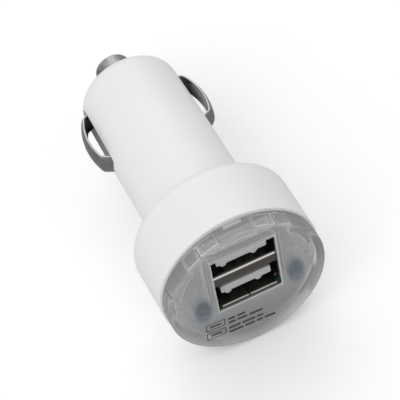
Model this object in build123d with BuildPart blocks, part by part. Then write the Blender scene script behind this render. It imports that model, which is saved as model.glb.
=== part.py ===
"""Charger plug for a 12 V socket in a car, with two stacked USB-A ports behind a clear front cap.

Sizes are in millimetres. The axis of the plug is Y: the origin is on it, in the plane of the shoulder
that stops against the socket, +Y runs to the nose and -Y to the ports. +X is to the right and +Z up for
someone who faces the ports.
"""

import os
from math import radians, sqrt, tan

from build123d import *

# Barrel, the part that goes into the socket
barrel_diameter = 20.8
barrel_length = 39.0
barrel_wall = 1.6
nose_diameter = 20.3
nose_wall = 1.6
nose_rounding = 2.8
nose_corner = 0.6

# Head, the part that stays outside
head_diameter = 32.0
head_length = 13.8
head_wall = 1.5
shoulder_wall = 2.0
shoulder_rounding = 2.4
shoulder_corner = 0.8

# Clear front cap, with tabs that snap into the head and a key that stops it from turning
cap_depth = 4.0
cap_step = 0.3
cap_wall = 1.5
cap_face = 1.6
cap_edge_rounding = 0.9
tab_count = 6
tab_angle = 30.0
tab_thickness = 1.2
tab_reach = 4.0
tab_clearance = 0.05
snap_height = 0.3
snap_length = 0.8
snap_from_rim = 2.4
snap_clearance = 0.1
key_width = 3.2
key_reach = 0.7
key_skin = 0.6
key_clearance = 0.1

# Stacked USB-A connector in its folded steel shell
port_width = 12.5
port_height = 5.12
port_rise = 4.46
divider_height = 2.8
shell_sheet = 0.3
shell_bend = 0.8
shell_depth = 13.0
shell_seam = 0.35
shell_clearance = 0.1
finger_length = 5.0
finger_width = 2.0
finger_slit = 0.3
finger_from_front = 2.2
relief_width = 1.0
relief_depth = 1.5
peg_width = 1.6
peg_spacing = 6.5
peg_from_front = 5.2
lip_thickness = 0.4
lip_margin = 0.15
sleeve_wall = 0.9
sleeve_depth = 3.8
divider_setback = 0.2
divider_bend = 0.8
divider_depth = 11.0

# Plastic tongues that carry the contacts inside the connector
tongue_setback = 0.8
tongue_width = 10.0
tongue_thickness = 1.84
tongue_gap = 2.4
tongue_rounding = 0.25
insulator_block = 1.4
lug_radius = 0.62
lug_length = 1.0
lug_spacing = 6.1
lug_offset = -0.6
contact_setback = 1.4
contact_width = 1.0
contact_sheet = 0.25
outer_contacts = 7.0
inner_contacts = 2.0
leg_pitch = 1.0

# Circuit board, on rails inside the barrel, with a tab under the connector that shows in the cap's opening
board_thickness = 1.6
board_setback = 0.2
board_show = 0.75
board_front_gap = 0.6
board_edge_gap = 0.4
board_length = 43.0
board_tail_width = 9.2
lead_size = 0.5
lead_slot_gap = 0.15
lead_tail = 0.6
rail_start = 1.0
rail_length = 17.0
rail_thickness = 1.2
rail_grip = 1.0

# Indicator lamps on each side of the connector, whose leads grip the front edge of the board
lamp_diameter = 3.0
lamp_length = 5.0
lamp_dome = 1.4
lamp_flange = 0.25
lamp_flange_length = 0.8
lamp_gap = 0.3
lamp_board_gap = 0.3
lamp_lead_reach = 2.4

# Two electrolytic capacitors, side by side in the barrel
capacitor_diameter = 6.3
capacitor_length = 11.0
capacitor_start = 1.0
capacitor_spacing = 7.4
capacitor_rounding = 0.4
capacitor_groove = 0.35
capacitor_groove_from_end = 1.6
capacitor_lead_pitch = 2.5
capacitor_lead_reach = 0.8
capacitor_lift = 0.1

# Wound choke
choke_middle = 17.3
choke_diameter = 7.8
choke_height = 5.6
choke_flange = 0.8
choke_post_diameter = 3.6
choke_wire = 0.7
choke_turn_pitch = 0.63
choke_inset = 0.7

# Parts soldered under the board
chip_middle = 8.0
chip_length = 4.9
chip_width = 3.9
chip_height = 1.5
chip_lift = 0.15
chip_chamfer = 0.2
chip_lead_count = 4
chip_lead_pitch = 1.27
chip_lead_width = 0.4
chip_lead_sheet = 0.2
chip_lead_reach = 1.1
diode_middle = 14.6
diode_length = 4.3
diode_width = 2.6
diode_height = 2.2
diode_rounding = 0.3
diode_foot = 0.5
resistor_middle = 3.2
resistor_count = 4
resistor_pitch = 2.0
resistor_length = 2.0
resistor_width = 1.25
resistor_height = 0.55
ceramic_middle = 21.5
ceramic_spacing = 4.4
ceramic_height = 1.2

# Sprung centre contact in the nose
tip_diameter = 7.2
tip_reach = 7.2
tip_wall = 0.6
tip_dome = 0.2
tip_edge_rounding = 0.3
tip_flange_diameter = 9.4
tip_flange = 1.0
tip_clearance = 0.05
tip_inner_rounding = 0.4
spring_diameter = 5.2
spring_wire = 0.55
spring_turns = 7
spring_seat_diameter = 7.6
spring_seat_sheet = 0.5
spring_seat_foot = 3.2
spring_seat_foot_width = 4.0

# Bowed side contacts in their slots
slot_from_nose = 2.6
slot_length = 15.6
slot_width = 5.1
slot_corner = 0.5
slot_before_draft = 0.6
side_width = 4.5
side_sheet = 0.3
side_arch = 0.6
side_wall_gap = 0.2
side_slot_gap = 0.6
side_face_tab = 1.8
side_nose_tab = 0.6
bow_height = 2.05
bow_top = 7.6
bow_rise = 1.35
bow_rise_run = 2.0
bow_fall = 0.5
bow_fall_run = 1.3
bow_nose_gap = 0.5
bow_bend = 0.9
bow_shoulder_bend = 1.2
bow_fall_bend = 1.5

# Radii and places that follow from the sizes above
barrel_radius = barrel_diameter / 2
barrel_bore = barrel_radius - barrel_wall
nose_radius = nose_diameter / 2
nose_floor_y = barrel_length - nose_wall
slot_end = barrel_length - slot_from_nose
slot_start = slot_end - slot_length
straight_end = slot_start - slot_before_draft
head_radius = head_diameter / 2
head_bore = head_radius - head_wall
rim_y = -head_length
face_y = rim_y - cap_depth
face_back_y = face_y + cap_face
cap_radius = head_radius - cap_step
cap_bore = cap_radius - cap_wall
tab_radius = head_bore - tab_clearance
tab_bore = tab_radius - tab_thickness
snap_y = rim_y + snap_from_rim
key_radius = cap_radius - key_skin - key_clearance
sleeve_end_y = face_y + sleeve_depth

stack_height = 2 * port_height + divider_height
shell_width = port_width + 2 * shell_sheet
shell_height = stack_height + 2 * shell_sheet
shell_y = face_y + lip_thickness
shell_end_y = shell_y + shell_depth
shell_bottom = port_rise - shell_height / 2
shell_top = port_rise + shell_height / 2
peg_middle_y = shell_y + peg_from_front + peg_spacing / 2
pocket_width = shell_width + 2 * shell_clearance
pocket_top = shell_top + shell_clearance
upper_port = port_rise + (divider_height + port_height) / 2
lower_port = port_rise - (divider_height + port_height) / 2
tongue_y = shell_y + tongue_setback
block_y = shell_end_y - insulator_block
contact_y = tongue_y + contact_setback
contact_rows = [-outer_contacts / 2, -inner_contacts / 2, inner_contacts / 2, outer_contacts / 2]
lower_leg_y = shell_end_y + leg_pitch / 2
upper_leg_y = lower_leg_y + leg_pitch

board_top = shell_bottom
board_bottom = board_top - board_thickness
board_tab_y = shell_y + board_setback
board_y = sleeve_end_y + board_front_gap
board_end_y = board_tab_y + board_length
board_neck_y = -shoulder_wall - board_front_gap
board_tail_y = slot_start - side_face_tab - board_edge_gap
board_head_half = sqrt(tab_bore**2 - board_bottom**2) - board_edge_gap
board_barrel_half = sqrt(barrel_bore**2 - board_bottom**2) - board_edge_gap
lead_hole = lead_size + 2 * lead_slot_gap
lead_end = board_bottom - lead_tail
pocket_bottom = board_bottom - shell_clearance
hole_bottom = board_top - board_show
hole_top = shell_top - shell_sheet + lip_margin

lamp_radius = lamp_diameter / 2
lamp_x = pocket_width / 2 + sleeve_wall + lamp_radius + lamp_gap
lamp_z = board_top - board_thickness / 2
lamp_y = face_back_y + lamp_gap
lamp_end_y = lamp_y + lamp_length
board_corner_y = lamp_end_y + lamp_board_gap
board_front_half = lamp_x - lamp_radius - lamp_flange - lamp_board_gap

capacitor_radius = capacitor_diameter / 2
capacitor_x = capacitor_spacing / 2
capacitor_z = board_top + capacitor_radius + capacitor_lift
capacitor_end_y = capacitor_start + capacitor_length
capacitor_lead_y = capacitor_end_y + capacitor_lead_reach
capacitor_lead_rows = [
    side * capacitor_x + end * capacitor_lead_pitch / 2 for side in (-1, 1) for end in (-1, 1)
]

tip_radius = tip_diameter / 2
tip_y = barrel_length + tip_reach
tip_flange_y = nose_floor_y - tip_flange
tip_floor_y = tip_y - tip_dome - tip_wall
seat_y = board_end_y
spring_y = seat_y + spring_seat_sheet

side_x = barrel_bore - side_wall_gap - side_arch
side_start_y = slot_start - side_face_tab
riser_y = slot_start + side_slot_gap
arch_radius = ((side_width / 2) ** 2 + side_arch**2) / (2 * side_arch)


def across(y):
    """Plane across the axis at y, with X to the right and Z up. Positive depth runs to the ports."""
    return Plane.XZ.offset(-y)


# Housing: one moulded shell, turned about the axis, with slots, board rails and the cap's key
with BuildPart() as housing:
    with BuildSketch(Plane.XY) as wall:
        with BuildLine():
            Polyline(
                (head_bore, rim_y),
                (head_radius, rim_y),
                (head_radius, 0),
                (barrel_radius, 0),
                (barrel_radius, straight_end),
                (nose_radius, barrel_length),
                (tip_radius + tip_clearance, barrel_length),
                (tip_radius + tip_clearance, nose_floor_y),
                (barrel_bore, nose_floor_y),
                (barrel_bore, -shoulder_wall),
                (head_bore, -shoulder_wall),
                close=True,
            )
        make_face()
        fillet(wall.vertices().sort_by_distance((head_radius, 0))[0], shoulder_rounding)
        fillet(wall.vertices().sort_by_distance((barrel_radius, 0))[0], shoulder_corner)
        fillet(wall.vertices().sort_by_distance((nose_radius, barrel_length))[0], nose_rounding)
        fillet(wall.vertices().sort_by_distance((barrel_bore, nose_floor_y))[0], nose_corner)
    revolve(axis=Axis.Y)
    with BuildSketch(Plane.XY):
        with Locations((head_bore, snap_y)):
            Rectangle(2 * (snap_height + snap_clearance), snap_length + 2 * snap_clearance)
    revolve(axis=Axis.Y, mode=Mode.SUBTRACT)
    with BuildSketch(Plane.YZ):
        with Locations((slot_start + slot_length / 2, 0)):
            RectangleRounded(slot_length, slot_width, slot_corner)
    extrude(amount=barrel_diameter, both=True, mode=Mode.SUBTRACT)
    with BuildSketch(across(rail_start)):
        with Locations((0, board_bottom)):
            Rectangle(barrel_diameter, rail_thickness, align=(Align.CENTER, Align.MAX))
        Rectangle(2 * (board_barrel_half - rail_grip), barrel_diameter, mode=Mode.SUBTRACT)
        Circle(barrel_bore + barrel_wall / 2, mode=Mode.INTERSECT)
    extrude(amount=-rail_length)
    with BuildSketch(across(rim_y)):
        Circle(key_radius)
        Circle(head_bore, mode=Mode.SUBTRACT)
        Rectangle(key_width, head_diameter, align=(Align.CENTER, Align.MIN), mode=Mode.INTERSECT)
    extrude(amount=key_reach)

# Front cap: a clear cup with snap tabs round its edge and a sleeve that holds the connector
with BuildPart() as front_cap:
    with BuildSketch(Plane.XY) as cup:
        with BuildLine():
            Polyline(
                (0, face_y),
                (cap_radius, face_y),
                (cap_radius, rim_y),
                (cap_bore, rim_y),
                (cap_bore, face_back_y),
                (0, face_back_y),
                close=True,
            )
        make_face()
        fillet(cup.vertices().sort_by_distance((cap_radius, face_y))[0], cap_edge_rounding)
    revolve(axis=Axis.Y)
    gap_half = head_diameter * tan(radians(180 / tab_count - tab_angle / 2))
    with BuildSketch(across(face_back_y)):
        Circle(tab_radius)
        Circle(tab_bore, mode=Mode.SUBTRACT)
        with PolarLocations(0, tab_count, start_angle=90 + 180 / tab_count):
            Polygon(
                (0, 0),
                (head_diameter, -gap_half),
                (head_diameter, gap_half),
                align=None,
                mode=Mode.SUBTRACT,
            )
    extrude(amount=-(rim_y + tab_reach - face_back_y))
    with BuildSketch(across(snap_y - snap_length / 2)):
        Circle(head_bore + snap_height)
        Circle(tab_bore, mode=Mode.SUBTRACT)
        with PolarLocations(0, tab_count, start_angle=90 + 180 / tab_count):
            Polygon(
                (0, 0),
                (head_diameter, -gap_half),
                (head_diameter, gap_half),
                align=None,
                mode=Mode.SUBTRACT,
            )
    extrude(amount=-snap_length)
    with BuildSketch(across(face_back_y)):
        with Locations((0, pocket_bottom)):
            Rectangle(
                pocket_width + 2 * sleeve_wall,
                pocket_top + sleeve_wall - pocket_bottom,
                align=(Align.CENTER, Align.MIN),
            )
    extrude(amount=face_back_y - sleeve_end_y)
    with BuildSketch(across(shell_y)):
        with Locations((0, pocket_bottom)):
            Rectangle(pocket_width, pocket_top - pocket_bottom, align=(Align.CENTER, Align.MIN))
    extrude(amount=shell_y - sleeve_end_y, mode=Mode.SUBTRACT)
    with BuildSketch(across(face_y)):
        with Locations((0, hole_bottom)):
            Rectangle(
                port_width + 2 * lip_margin,
                hole_top - hole_bottom,
                align=(Align.CENTER, Align.MIN),
            )
    extrude(amount=-cap_face, mode=Mode.SUBTRACT)
    with BuildSketch(across(rim_y)):
        Circle(key_radius + key_clearance)
        Circle(tab_radius, mode=Mode.SUBTRACT)
        Rectangle(
            key_width + 2 * key_clearance,
            head_diameter,
            align=(Align.CENTER, Align.MIN),
            mode=Mode.INTERSECT,
        )
    extrude(amount=key_reach + key_clearance, mode=Mode.SUBTRACT)

# Connector shell: sheet steel folded to a tube, with its seam and cut corners below, spring fingers
# and solder pegs
with BuildPart() as usb_shell:
    with BuildSketch(across(shell_y)):
        with Locations((0, port_rise)):
            RectangleRounded(shell_width, shell_height, shell_bend)
            RectangleRounded(port_width, stack_height, shell_bend - shell_sheet, mode=Mode.SUBTRACT)
        with Locations((0, shell_bottom)):
            Rectangle(shell_seam, 2 * shell_bend, mode=Mode.SUBTRACT)
    extrude(amount=-shell_depth)
    with BuildSketch(across(shell_y)):
        with Locations((0, shell_bottom)):
            with GridLocations(shell_width - relief_width, 0, 2, 1):
                Rectangle(relief_width, 2 * shell_bend)
    extrude(amount=-relief_depth, mode=Mode.SUBTRACT)
    with BuildSketch(Plane.YZ):
        with Locations(
            (shell_y + finger_from_front, upper_port), (shell_y + finger_from_front, lower_port)
        ):
            Rectangle(
                finger_length + finger_slit,
                finger_width + 2 * finger_slit,
                align=(Align.MIN, Align.CENTER),
            )
        with Locations(
            (shell_y + finger_from_front, upper_port), (shell_y + finger_from_front, lower_port)
        ):
            Rectangle(
                finger_length, finger_width, align=(Align.MIN, Align.CENTER), mode=Mode.SUBTRACT
            )
    extrude(amount=shell_width, both=True, mode=Mode.SUBTRACT)
    with BuildSketch(Plane.XY.offset(shell_bottom + shell_bend)):
        with Locations((0, peg_middle_y)):
            with GridLocations(shell_width - shell_sheet, peg_spacing, 2, 2):
                Rectangle(shell_sheet, peg_width)
    extrude(amount=lead_end - shell_bottom - shell_bend)

# Divider between the two ports: a folded channel, open to the rear
with BuildPart() as usb_divider:
    with BuildSketch(Plane.YZ):
        with Locations((shell_y + divider_setback, port_rise)):
            Rectangle(divider_depth, divider_height, align=(Align.MIN, Align.CENTER))
        with Locations((shell_y + divider_setback + shell_sheet, port_rise)):
            Rectangle(
                divider_depth,
                divider_height - 2 * shell_sheet,
                align=(Align.MIN, Align.CENTER),
                mode=Mode.SUBTRACT,
            )
    extrude(amount=port_width / 2, both=True)
    fillet(usb_divider.edges().filter_by(Axis.X).group_by(Axis.Y)[1], divider_bend - shell_sheet)
    fillet(usb_divider.edges().filter_by(Axis.X).group_by(Axis.Y)[0], divider_bend)


def make_insulator(middle):
    """Rear block and tongue of the port at this height, with slots where its contacts pass."""
    tongue_bottom = middle - port_height / 2 + tongue_gap
    with BuildPart() as insulator:
        with BuildSketch(across(block_y)):
            with Locations((0, middle)):
                RectangleRounded(port_width, port_height, shell_bend)
        extrude(amount=-insulator_block)
        with BuildSketch(across(tongue_y)):
            with Locations((0, tongue_bottom + tongue_thickness / 2)):
                RectangleRounded(tongue_width, tongue_thickness, tongue_rounding)
        extrude(amount=tongue_y - block_y)
        with BuildSketch(across(tongue_y)):
            with Locations((lug_offset, tongue_bottom)):
                with GridLocations(lug_spacing, 0, 2, 1):
                    Circle(lug_radius)
        extrude(amount=-lug_length)
        with BuildSketch(across(block_y)):
            with Locations(*[(x, tongue_bottom) for x in contact_rows]):
                Rectangle(contact_width, contact_sheet, align=(Align.CENTER, Align.MAX))
        extrude(amount=-insulator_block, mode=Mode.SUBTRACT)
    return insulator


def make_contacts(middle, leg_y):
    """Four contact strips under the tongue at this height, each with a leg down through the board."""
    tongue_bottom = middle - port_height / 2 + tongue_gap
    with BuildPart() as contacts:
        with BuildSketch(*[Plane.YZ.offset(x) for x in contact_rows]):
            with BuildLine():
                Polyline(
                    (contact_y, tongue_bottom),
                    (leg_y + contact_sheet / 2, tongue_bottom),
                    (leg_y + contact_sheet / 2, lead_end),
                    (leg_y - contact_sheet / 2, lead_end),
                    (leg_y - contact_sheet / 2, tongue_bottom - contact_sheet),
                    (contact_y, tongue_bottom - contact_sheet),
                    close=True,
                )
            make_face()
        extrude(amount=contact_width / 2, both=True)
    return contacts


upper_insulator = make_insulator(upper_port)
lower_insulator = make_insulator(lower_port)
upper_contacts = make_contacts(upper_port, upper_leg_y)
lower_contacts = make_contacts(lower_port, lower_leg_y)

# Circuit board: a tab under the connector, then between the lamps, wide in the head behind them,
# narrower on the rails, and narrow between the side contacts
with BuildPart() as circuit_board:
    with BuildSketch(Plane.XY.offset(board_top)):
        with Locations((0, board_tab_y)):
            Rectangle(shell_width, board_y - board_tab_y, align=(Align.CENTER, Align.MIN))
            Rectangle(board_tail_width, board_length, align=(Align.CENTER, Align.MIN))
        with Locations((0, board_y)):
            Rectangle(2 * board_front_half, board_corner_y - board_y, align=(Align.CENTER, Align.MIN))
        with Locations((0, board_corner_y)):
            Rectangle(
                2 * board_head_half, board_neck_y - board_corner_y, align=(Align.CENTER, Align.MIN)
            )
            Rectangle(
                2 * board_barrel_half, board_tail_y - board_corner_y, align=(Align.CENTER, Align.MIN)
            )
        with Locations((0, peg_middle_y)):
            with GridLocations(shell_width - shell_sheet, peg_spacing, 2, 2):
                Rectangle(
                    shell_sheet + 2 * lead_slot_gap, peg_width + 2 * lead_slot_gap, mode=Mode.SUBTRACT
                )
        with Locations(*[(x, y) for x in contact_rows for y in (lower_leg_y, upper_leg_y)]):
            Rectangle(
                contact_width + 2 * lead_slot_gap,
                contact_sheet + 2 * lead_slot_gap,
                mode=Mode.SUBTRACT,
            )
        with Locations(*[(x, capacitor_lead_y) for x in capacitor_lead_rows]):
            Rectangle(lead_hole, lead_hole, mode=Mode.SUBTRACT)
    extrude(amount=-board_thickness)


def make_lamp(x):
    """Round lamp level with the board, in front of it, that points at the front cap."""
    with BuildPart() as lamp:
        with BuildSketch(Plane.XY.offset(lamp_z)) as half:
            with Locations((x, lamp_y)):
                Rectangle(lamp_radius, lamp_length, align=(Align.MIN, Align.MIN))
            with Locations((x, lamp_end_y - lamp_flange_length)):
                Rectangle(
                    lamp_radius + lamp_flange, lamp_flange_length, align=(Align.MIN, Align.MIN)
                )
            dome_corner = half.vertices().sort_by_distance((x + lamp_radius, lamp_y))[0]
            fillet(dome_corner, lamp_dome)
        revolve(axis=Axis((x, 0, lamp_z), (0, 1, 0)))
    return lamp


def make_capacitor(x):
    """Capacitor can that lies along the barrel, with the crimp near its sealed end."""
    with BuildPart() as capacitor:
        with BuildSketch(Plane.XY.offset(capacitor_z)) as half:
            with Locations((x, capacitor_start)):
                Rectangle(capacitor_radius, capacitor_length, align=(Align.MIN, Align.MIN))
            fillet(half.vertices().group_by(Axis.X)[-1], capacitor_rounding)
            with Locations((x + capacitor_radius, capacitor_end_y - capacitor_groove_from_end)):
                Circle(capacitor_groove, mode=Mode.SUBTRACT)
        revolve(axis=Axis((x, 0, capacitor_z), (0, 1, 0)))
    return capacitor


left_lamp = make_lamp(-lamp_x)
right_lamp = make_lamp(lamp_x)
input_capacitor = make_capacitor(-capacitor_x)
output_capacitor = make_capacitor(capacitor_x)

# Lamp leads: straight back from each lamp, one over the board and one under it
with BuildPart() as lamp_leads:
    with BuildSketch(across(lamp_end_y)):
        with Locations((-lamp_x, lamp_z), (lamp_x, lamp_z)):
            with GridLocations(0, board_thickness + lead_size, 1, 2):
                Rectangle(lead_size, lead_size)
    extrude(amount=-(lamp_board_gap + lamp_lead_reach))

# Capacitor leads: back from the sealed end, then down through the board
with BuildPart() as capacitor_leads:
    with BuildSketch(*[Plane.YZ.offset(x) for x in capacitor_lead_rows]):
        with BuildLine():
            Polyline(
                (capacitor_end_y, capacitor_z + lead_size / 2),
                (capacitor_lead_y + lead_size / 2, capacitor_z + lead_size / 2),
                (capacitor_lead_y + lead_size / 2, lead_end),
                (capacitor_lead_y - lead_size / 2, lead_end),
                (capacitor_lead_y - lead_size / 2, capacitor_z - lead_size / 2),
                (capacitor_end_y, capacitor_z - lead_size / 2),
                close=True,
            )
        make_face()
    extrude(amount=lead_size / 2, both=True)

# Choke: a ferrite drum and the wire wound on it
choke_axis = Axis((0, choke_middle, 0), (0, 0, 1))
winding_height = choke_height - 2 * choke_flange
with BuildPart() as choke_core:
    with BuildSketch(across(choke_middle)):
        with Locations((0, board_top)):
            Rectangle(choke_diameter / 2, choke_height, align=(Align.MIN, Align.MIN))
        with Locations((choke_post_diameter / 2, board_top + choke_flange)):
            Rectangle(
                choke_diameter, winding_height, align=(Align.MIN, Align.MIN), mode=Mode.SUBTRACT
            )
    revolve(axis=choke_axis)

winding_radius = choke_diameter / 2 - choke_inset - choke_wire / 2
turn_count = 1 + int((winding_height - choke_wire) / choke_turn_pitch)
with BuildPart() as choke_winding:
    with BuildSketch(across(choke_middle)):
        with Locations((choke_post_diameter / 2, board_top + choke_height / 2)):
            Rectangle(
                winding_radius - choke_post_diameter / 2,
                winding_height - choke_wire,
                align=(Align.MIN, Align.CENTER),
            )
        with Locations((winding_radius, board_top + choke_height / 2)):
            with GridLocations(0, choke_turn_pitch, 1, turn_count):
                Circle(choke_wire / 2)
    revolve(axis=choke_axis)

# Converter chip under the board, with gull-wing leads along both sides
chip_top = board_bottom - chip_lift
chip_lead_z = chip_top - chip_height / 2
with BuildPart() as converter_chip:
    with BuildSketch(Plane.XY.offset(chip_top)):
        with Locations((0, chip_middle)):
            Rectangle(chip_width, chip_length)
    extrude(amount=-chip_height)
    chamfer(converter_chip.faces().sort_by(Axis.Z)[0].edges(), chip_chamfer)

chip_side = chip_width / 2
chip_lead_planes = [
    across(chip_middle + (k - (chip_lead_count - 1) / 2) * chip_lead_pitch)
    for k in range(chip_lead_count)
]
with BuildPart() as chip_leads:
    with BuildSketch(*chip_lead_planes):
        with BuildLine():
            Polyline(
                (chip_side, chip_lead_z),
                (chip_side + chip_lead_reach / 2, chip_lead_z),
                (chip_side + chip_lead_reach / 2, board_bottom),
                (chip_side + chip_lead_reach, board_bottom),
                (chip_side + chip_lead_reach, board_bottom - chip_lead_sheet),
                (chip_side + chip_lead_reach / 2 + chip_lead_sheet, board_bottom - chip_lead_sheet),
                (chip_side + chip_lead_reach / 2 + chip_lead_sheet, chip_lead_z - chip_lead_sheet),
                (chip_side, chip_lead_z - chip_lead_sheet),
                close=True,
            )
        make_face()
    extrude(amount=chip_lead_width / 2, both=True)
    mirror(about=Plane.YZ)

# Catch diode, with a soldered foot at each end
with BuildPart() as catch_diode:
    with BuildSketch(Plane.XY.offset(board_bottom)):
        with Locations((0, diode_middle)):
            Rectangle(diode_width, diode_length)
    extrude(amount=-diode_height)
    fillet(catch_diode.faces().sort_by(Axis.Z)[0].edges(), diode_rounding)
    with BuildSketch(Plane.XY.offset(board_bottom)):
        with Locations((0, diode_middle)):
            Rectangle(diode_width / 2, diode_length + 2 * diode_foot)
    extrude(amount=-chip_lead_sheet)

# Chip resistors in a row, and ceramic capacitors near the tail of the board
with BuildPart() as chip_resistors:
    with BuildSketch(Plane.XY.offset(board_bottom)):
        with Locations((0, resistor_middle)):
            with GridLocations(resistor_pitch, 0, resistor_count, 1):
                Rectangle(resistor_width, resistor_length)
    extrude(amount=-resistor_height)

with BuildPart() as ceramic_capacitors:
    with BuildSketch(Plane.XY.offset(board_bottom)):
        with Locations((0, ceramic_middle)):
            with GridLocations(ceramic_spacing, 0, 2, 1):
                Rectangle(resistor_width, resistor_length)
    extrude(amount=-ceramic_height)

# Centre contact: a drawn cup that slides in the nose, held by its flange
with BuildPart() as tip_contact:
    with BuildSketch(Plane.XY) as cup_wall:
        with BuildLine():
            inner = Polyline(
                (0, tip_floor_y),
                (tip_radius - tip_wall, tip_floor_y),
                (tip_radius - tip_wall, tip_flange_y),
                (tip_flange_diameter / 2, tip_flange_y),
                (tip_flange_diameter / 2, nose_floor_y),
                (tip_radius, nose_floor_y),
                (tip_radius, tip_y - tip_dome),
            )
            dome = RadiusArc(inner @ 1, (0, tip_y), -(tip_radius**2 + tip_dome**2) / (2 * tip_dome))
            Line(dome @ 1, inner @ 0)
        make_face()
        fillet(cup_wall.vertices().sort_by_distance((tip_radius, tip_y))[0], tip_edge_rounding)
        inner_corner = cup_wall.vertices().sort_by_distance((tip_radius - tip_wall, tip_floor_y))[0]
        fillet(inner_corner, tip_inner_rounding)
    revolve(axis=Axis.Y)

# Coil spring from its seat on the board into the centre contact
spring_rest = tip_floor_y - spring_y - spring_wire
with BuildPart() as tip_spring:
    with BuildLine():
        coil = Helix(
            pitch=spring_rest / spring_turns,
            height=spring_rest,
            radius=(spring_diameter - spring_wire) / 2,
            center=(0, spring_y + spring_wire / 2, 0),
            direction=(0, 1, 0),
        )
    with BuildSketch(Plane(origin=coil @ 0, z_dir=coil % 0)):
        Circle(spring_wire / 2)
    sweep(path=coil, is_frenet=True)

# Spring seat: a bent plate on the end of the board, with its foot soldered on top
with BuildPart() as spring_seat:
    with BuildSketch(across(seat_y)):
        Circle(spring_seat_diameter / 2)
    extrude(amount=-spring_seat_sheet)
    with BuildSketch(Plane.XY.offset(board_top)):
        with Locations((0, spring_y)):
            Rectangle(
                spring_seat_foot_width,
                spring_seat_foot + spring_seat_sheet,
                align=(Align.CENTER, Align.MAX),
            )
    extrude(amount=spring_seat_sheet)

# Side contacts: a strip arched across its width and bowed along it, with both ends behind the barrel wall
crown_start = (barrel_radius + bow_rise, riser_y + bow_rise_run)
crown_top = (barrel_radius + bow_height, slot_start + bow_top)
crown_end = (barrel_radius + bow_fall, slot_end - bow_nose_gap - bow_fall_run)
with BuildPart() as right_contact:
    with BuildLine(Plane.XY) as bow:
        Polyline((side_x, side_start_y), (side_x, riser_y), crown_start)
        ThreePointArc(crown_start, crown_top, crown_end)
        Polyline(crown_end, (side_x, slot_end - bow_nose_gap), (side_x, slot_end + side_nose_tab))
        bends = {
            (side_x, riser_y): bow_bend,
            crown_start: bow_shoulder_bend,
            crown_end: bow_fall_bend,
            (side_x, slot_end - bow_nose_gap): bow_bend,
        }
        for corner, bend in bends.items():
            fillet(bow.vertices().sort_by_distance(corner)[0], bend)
    with BuildSketch(across(side_start_y)):
        with Locations((side_x + side_arch - arch_radius, 0)):
            Circle(arch_radius)
            Circle(arch_radius - side_sheet, mode=Mode.SUBTRACT)
        with Locations((side_x + side_arch, 0)):
            Rectangle(arch_radius, side_width, align=(Align.MAX, Align.CENTER), mode=Mode.INTERSECT)
    sweep(path=bow.wires()[0])

with BuildPart() as left_contact:
    mirror(right_contact.part, about=Plane.YZ)

pieces = {
    "housing": housing,
    "front_cap": front_cap,
    "usb_shell": usb_shell,
    "usb_divider": usb_divider,
    "upper_insulator": upper_insulator,
    "lower_insulator": lower_insulator,
    "upper_contacts": upper_contacts,
    "lower_contacts": lower_contacts,
    "circuit_board": circuit_board,
    "left_lamp": left_lamp,
    "right_lamp": right_lamp,
    "lamp_leads": lamp_leads,
    "input_capacitor": input_capacitor,
    "output_capacitor": output_capacitor,
    "capacitor_leads": capacitor_leads,
    "choke_core": choke_core,
    "choke_winding": choke_winding,
    "converter_chip": converter_chip,
    "chip_leads": chip_leads,
    "catch_diode": catch_diode,
    "chip_resistors": chip_resistors,
    "ceramic_capacitors": ceramic_capacitors,
    "tip_contact": tip_contact,
    "tip_spring": tip_spring,
    "spring_seat": spring_seat,
    "right_contact": right_contact,
    "left_contact": left_contact,
}
os.makedirs("parts", exist_ok=True)
for name, piece in pieces.items():
    piece.part.label = name
    export_step(piece.part, f"parts/{name}.step")
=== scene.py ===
"""Looks of a charger plug for a 12 V car socket: finishes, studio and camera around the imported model."""

import math

import bpy
from mathutils import Matrix, Vector


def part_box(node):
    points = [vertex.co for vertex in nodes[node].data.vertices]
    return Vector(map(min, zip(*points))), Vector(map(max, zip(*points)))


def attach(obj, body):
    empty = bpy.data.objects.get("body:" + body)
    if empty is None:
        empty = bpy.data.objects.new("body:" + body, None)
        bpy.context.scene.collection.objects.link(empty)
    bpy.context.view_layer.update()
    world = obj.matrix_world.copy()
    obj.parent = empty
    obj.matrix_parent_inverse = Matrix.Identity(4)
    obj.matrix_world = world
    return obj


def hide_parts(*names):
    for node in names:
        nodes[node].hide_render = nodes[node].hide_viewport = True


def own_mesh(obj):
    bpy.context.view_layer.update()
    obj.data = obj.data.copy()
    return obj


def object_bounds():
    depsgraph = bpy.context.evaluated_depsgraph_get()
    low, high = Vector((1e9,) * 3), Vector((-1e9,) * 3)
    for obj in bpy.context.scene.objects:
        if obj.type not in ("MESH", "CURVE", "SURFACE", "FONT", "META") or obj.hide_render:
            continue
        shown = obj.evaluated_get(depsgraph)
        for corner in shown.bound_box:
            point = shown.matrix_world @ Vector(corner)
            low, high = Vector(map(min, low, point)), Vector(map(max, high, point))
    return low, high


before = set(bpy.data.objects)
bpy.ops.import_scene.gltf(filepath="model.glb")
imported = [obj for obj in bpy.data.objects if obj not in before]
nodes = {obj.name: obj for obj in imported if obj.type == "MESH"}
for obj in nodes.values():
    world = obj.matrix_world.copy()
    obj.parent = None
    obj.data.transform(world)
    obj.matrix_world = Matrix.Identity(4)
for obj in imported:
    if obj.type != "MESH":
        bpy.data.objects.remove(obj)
cad_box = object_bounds()
MM = 0.001

# Camera: where the photograph was taken from, read off the outlines of the head, cap and barrel
camera_place_mm = (-64.69, -224.33, 286.55)
camera_azimuth = -15.92
camera_tilt = 39.84
camera_roll = -11.67
focal_length_px = 1974.8
image_width_px = 400
sensor_width_mm = 36
clip_range = (0.01, 10)

# Coil spring under the centre contact
spring_wire_mm = 0.55
spring_turns = 7
coil_steps = 40
wire_sides = 14

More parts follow.
